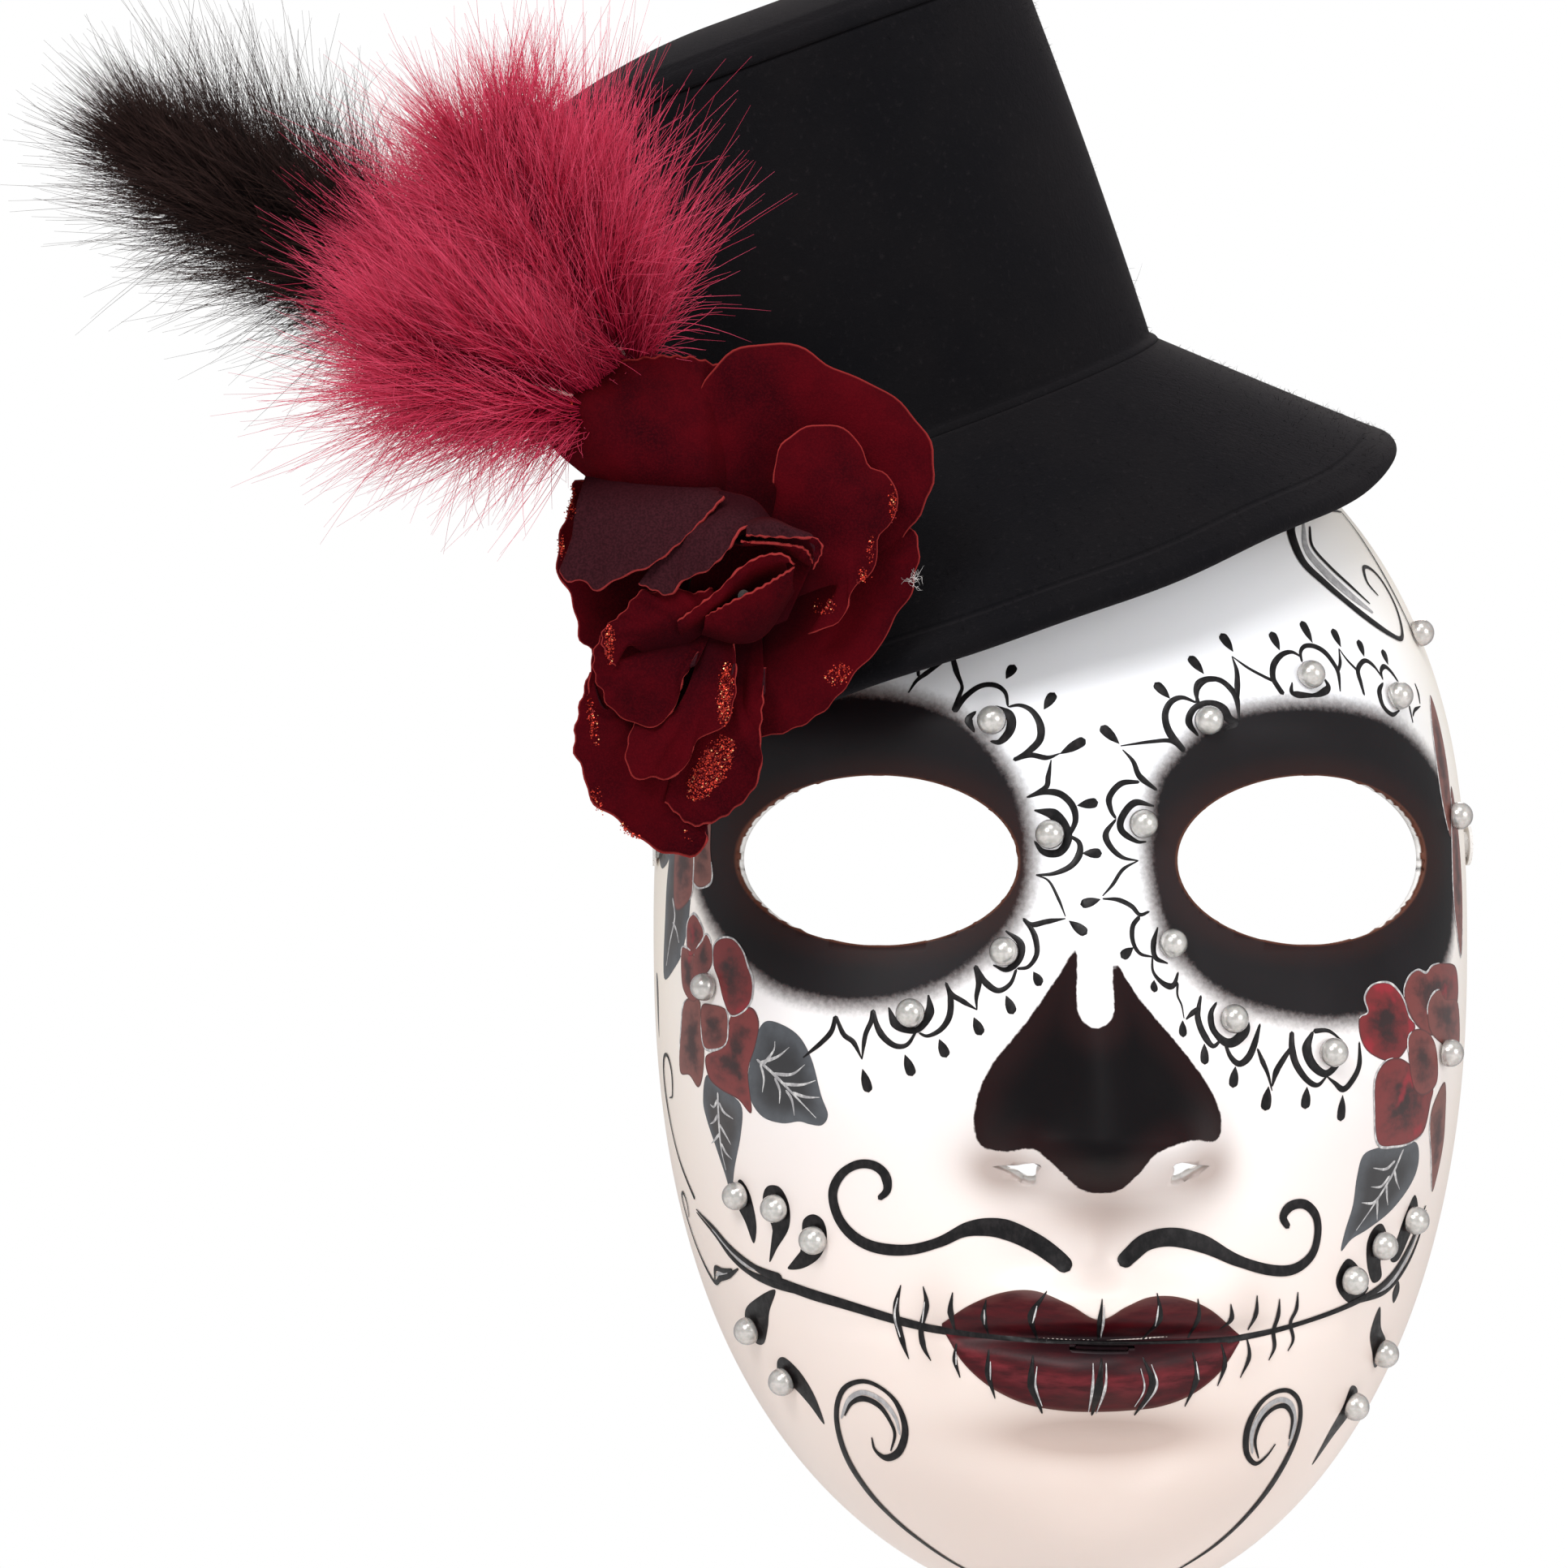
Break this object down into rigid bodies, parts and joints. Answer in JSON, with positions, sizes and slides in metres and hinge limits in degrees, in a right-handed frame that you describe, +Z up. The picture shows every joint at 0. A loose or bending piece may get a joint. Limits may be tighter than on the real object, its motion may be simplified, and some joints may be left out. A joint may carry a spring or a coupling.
{
  "type": "masquerade mask",
  "caption": "Full-face masquerade mask with painted skull decoration, tilted mini top hat, velvet rose, marabou feathers and glued pearls.",
  "frame": {"origin": "on the mask's symmetry plane, at eye level, in the plane of the shell's rear rim, where the wearer's face goes in", "axes": "+X to the viewer's right, the mask faces -Y, +Z up towards the hat"},
  "size_m": [0.2731, 0.1881, 0.3308],
  "materials": {
    "shell": "satin white paint with painted decoration",
    "eyelet": "polished",
    "felt": "pressed wool felt",
    "card": "stiff board",
    "wire": "drawn",
    "sweatband": "grosgrain ribbon",
    "glue": "hot-melt glue",
    "green_felt": "felt",
    "stem": "taped wire",
    "velvet": "cotton velvet with glitter patches",
    "dusky_velvet": "woven back of the velvet",
    "thread": "wrapped thread",
    "quill": "horn",
    "black_down": "marabou down",
    "red_down": "marabou down",
    "pearl": "pearl lacquer"
  },
  "bodies": {
    "root": {"mask_shell": "shell", "ribbon_eyelet_left": "eyelet", "ribbon_eyelet_right": "eyelet", "hat_crown_side": "felt", "hat_crown_top": "felt", "hat_crown_former": "card", "hat_crown_top_former": "card", "hat_brim_upper": "felt", "hat_brim_lower": "felt", "hat_brim_stiffener": "card", "hat_brim_wire": "wire", "hat_sweatband": "sweatband", "hat_glue_pads": "glue", "rose_backing": "green_felt", "rose_stem_wire": "stem", "rose_glue_pad": "glue", "petal_outer_top_right": "velvet", "petal_outer_top_left": "velvet", "petal_outer_left": "velvet", "petal_outer_bottom": "velvet", "petal_outer_right": "velvet", "petal_middle_right": "velvet", "petal_middle_top": "dusky_velvet", "petal_middle_left": "velvet", "petal_middle_bottom_left": "velvet", "petal_middle_bottom_right": "velvet", "petal_inner_right": "velvet", "petal_inner_top": "dusky_velvet", "petal_inner_left": "velvet", "petal_inner_bottom": "velvet", "petal_bud_outer": "velvet", "petal_bud_inner": "velvet", "feather_binding": "thread", "black_feather_quill": "quill", "black_feather_plume": "black_down", "red_feather_low_quill": "quill", "red_feather_low_plume": "red_down", "red_feather_high_quill": "quill", "red_feather_high_plume": "red_down", "red_feather_short_quill": "quill", "red_feather_short_plume": "red_down", "pearls_left_eye": "pearl", "pearls_right_eye": "pearl", "pearls_left_cheek": "pearl", "pearls_right_cheek": "pearl", "pearls_temples": "pearl"}
  },
  "joints": []
}
